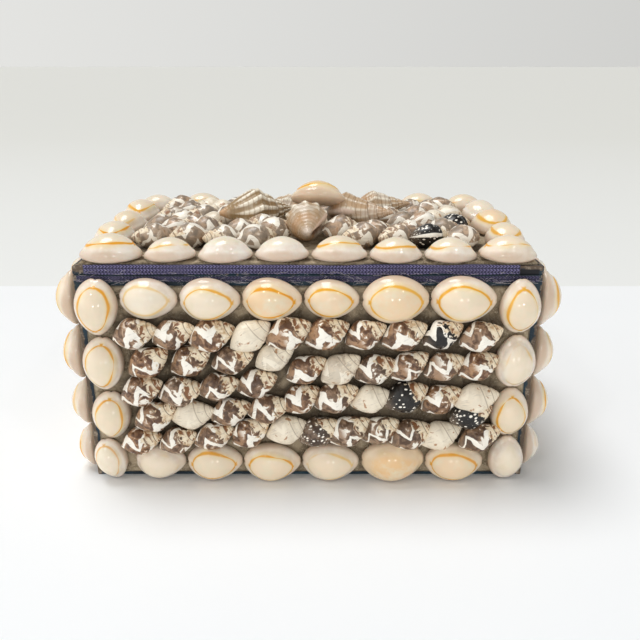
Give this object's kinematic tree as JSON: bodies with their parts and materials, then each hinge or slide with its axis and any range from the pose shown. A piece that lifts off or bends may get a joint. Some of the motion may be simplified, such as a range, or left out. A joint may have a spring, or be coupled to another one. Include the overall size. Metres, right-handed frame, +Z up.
{
  "type": "shell-covered keepsake box",
  "caption": "Rectangular keepsake box with a loose flat lid, covered on every face in cowries and small sea shells.",
  "frame": {"origin": "centre of the underside of the box", "axes": "+X to the right along the width, +Y to the back, +Z up through the lid; the front faces -Y"},
  "size_m": [0.2092, 0.1361, 0.1205],
  "materials": {
    "paper": "dark teal paper over card, worn along its edges",
    "ribbon": "matte twill ribbon",
    "cowrie": "polished porcelain-like shell with a yellow ring",
    "dove": "half-gloss brown shell with white flames, in rough putty",
    "whelk": "half-matte ribbed shell"
  },
  "bodies": {
    "root": {"back_cowrie_border": "cowrie", "back_dove_panel": "dove", "body_ribbon": "ribbon", "box_body": "paper", "front_bottom_cowrie_1": "cowrie", "front_bottom_cowrie_2": "cowrie", "front_bottom_cowrie_3": "cowrie", "front_bottom_cowrie_4": "cowrie", "front_bottom_cowrie_5": "cowrie", "front_bottom_cowrie_6": "cowrie", "front_dove_panel": "dove", "front_left_cowrie_1": "cowrie", "front_left_cowrie_2": "cowrie", "front_left_cowrie_3": "cowrie", "front_left_cowrie_4": "cowrie", "front_right_cowrie_1": "cowrie", "front_right_cowrie_2": "cowrie", "front_right_cowrie_3": "cowrie", "front_right_cowrie_4": "cowrie", "front_top_cowrie_1": "cowrie", "front_top_cowrie_2": "cowrie", "front_top_cowrie_3": "cowrie", "front_top_cowrie_4": "cowrie", "front_top_cowrie_5": "cowrie", "front_top_cowrie_6": "cowrie", "left_cowrie_border": "cowrie", "left_dove_panel": "dove", "lid_board": "paper", "lid_cowrie_border": "cowrie", "lid_dove_panel": "dove", "lid_front_cowrie_1": "cowrie", "lid_front_cowrie_2": "cowrie", "lid_front_cowrie_3": "cowrie", "lid_front_cowrie_4": "cowrie", "lid_front_cowrie_5": "cowrie", "lid_front_cowrie_6": "cowrie", "lid_front_cowrie_7": "cowrie", "lid_front_cowrie_8": "cowrie", "lid_ribbon": "ribbon", "right_cowrie_border": "cowrie", "right_dove_panel": "dove", "top_cowrie": "cowrie", "whelk_back_left": "whelk", "whelk_back_right": "whelk", "whelk_front": "whelk", "whelk_left": "whelk", "whelk_right": "whelk"}
  },
  "joints": []
}
